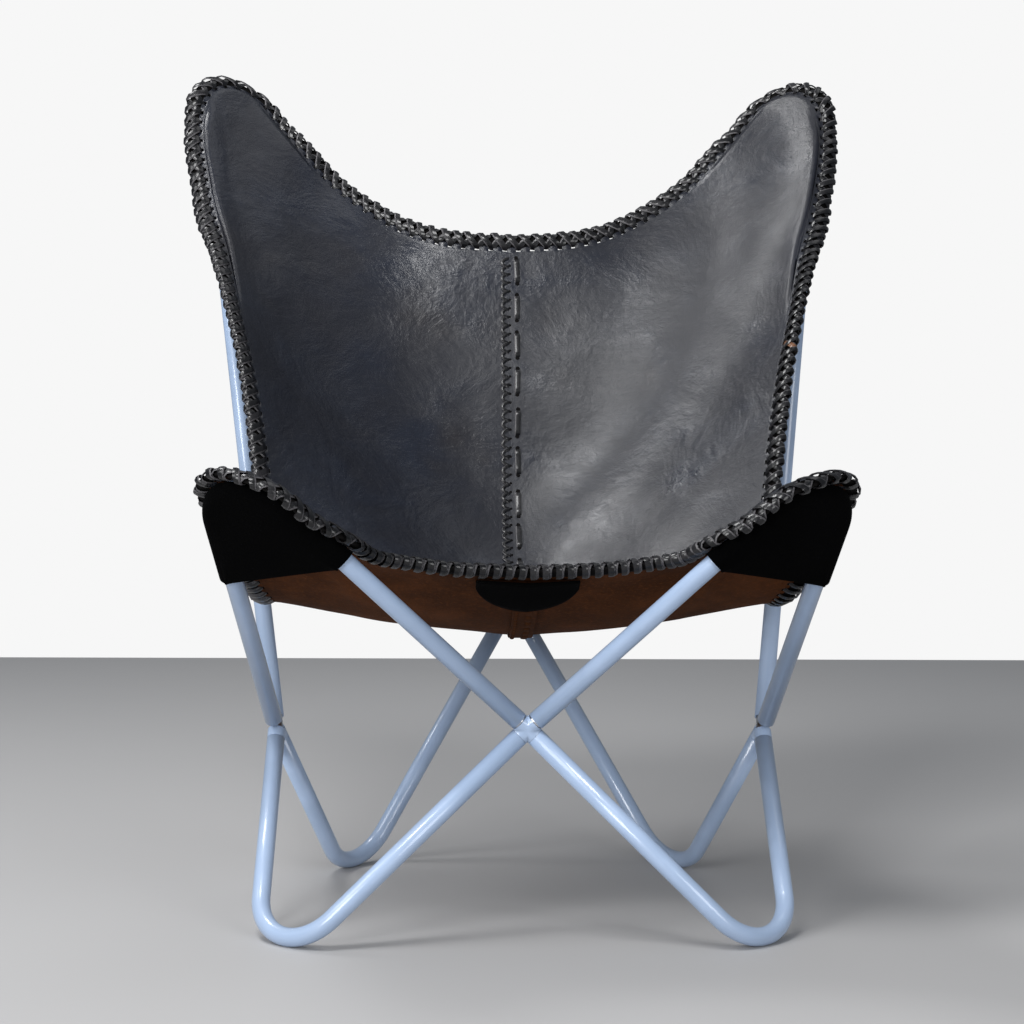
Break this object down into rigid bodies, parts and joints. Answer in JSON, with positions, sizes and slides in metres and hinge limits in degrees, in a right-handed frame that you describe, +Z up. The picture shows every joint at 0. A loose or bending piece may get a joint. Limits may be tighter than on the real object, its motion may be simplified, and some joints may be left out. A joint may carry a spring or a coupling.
{
  "type": "butterfly sling chair",
  "caption": "Low lounge chair: a knock-down frame of bent round tube that crosses at plug-in hubs, with a laced leather sling hung by a pocket on each top corner.",
  "frame": {"origin": "on the floor, under the middle of the chair's bounding box", "axes": "+Z up, along the longest extent; the chair faces -Y, and its depth along Y is the shortest extent; +X is to the right in a view from the front. The frame and the leather mirror across X = 0, but the two laces on the middle seam differ"},
  "size_m": [0.7874, 0.7574, 0.9165],
  "materials": {
    "painted_tube": "pale blue-grey satin powder coat",
    "leather": "charcoal smooth leather with a soft uneven sheen",
    "suede": "matt black suede",
    "lace": "black glossy flat lace, braided",
    "flesh_leather": "rough brown flesh side"
  },
  "bodies": {
    "root": {"front_left_top_tube": "painted_tube", "front_right_top_tube": "painted_tube", "rear_left_top_tube": "painted_tube", "rear_right_top_tube": "painted_tube", "front_left_foot_tube": "painted_tube", "front_right_foot_tube": "painted_tube", "rear_left_foot_tube": "painted_tube", "rear_right_foot_tube": "painted_tube", "front_cross_hub": "painted_tube", "rear_cross_hub": "painted_tube", "left_cross_hub": "painted_tube", "right_cross_hub": "painted_tube", "left_leather_panel": "leather", "right_leather_panel": "leather", "left_edge_braid": "lace", "right_edge_braid": "lace", "front_edge_braid": "lace", "top_edge_braid": "lace", "front_left_pocket": "suede", "front_right_pocket": "suede", "rear_left_pocket": "suede", "rear_right_pocket": "suede", "centre_chain_lace": "lace", "centre_running_lace": "lace", "seam_backing_strip": "flesh_leather", "front_edge_patch": "suede"}
  },
  "joints": []
}
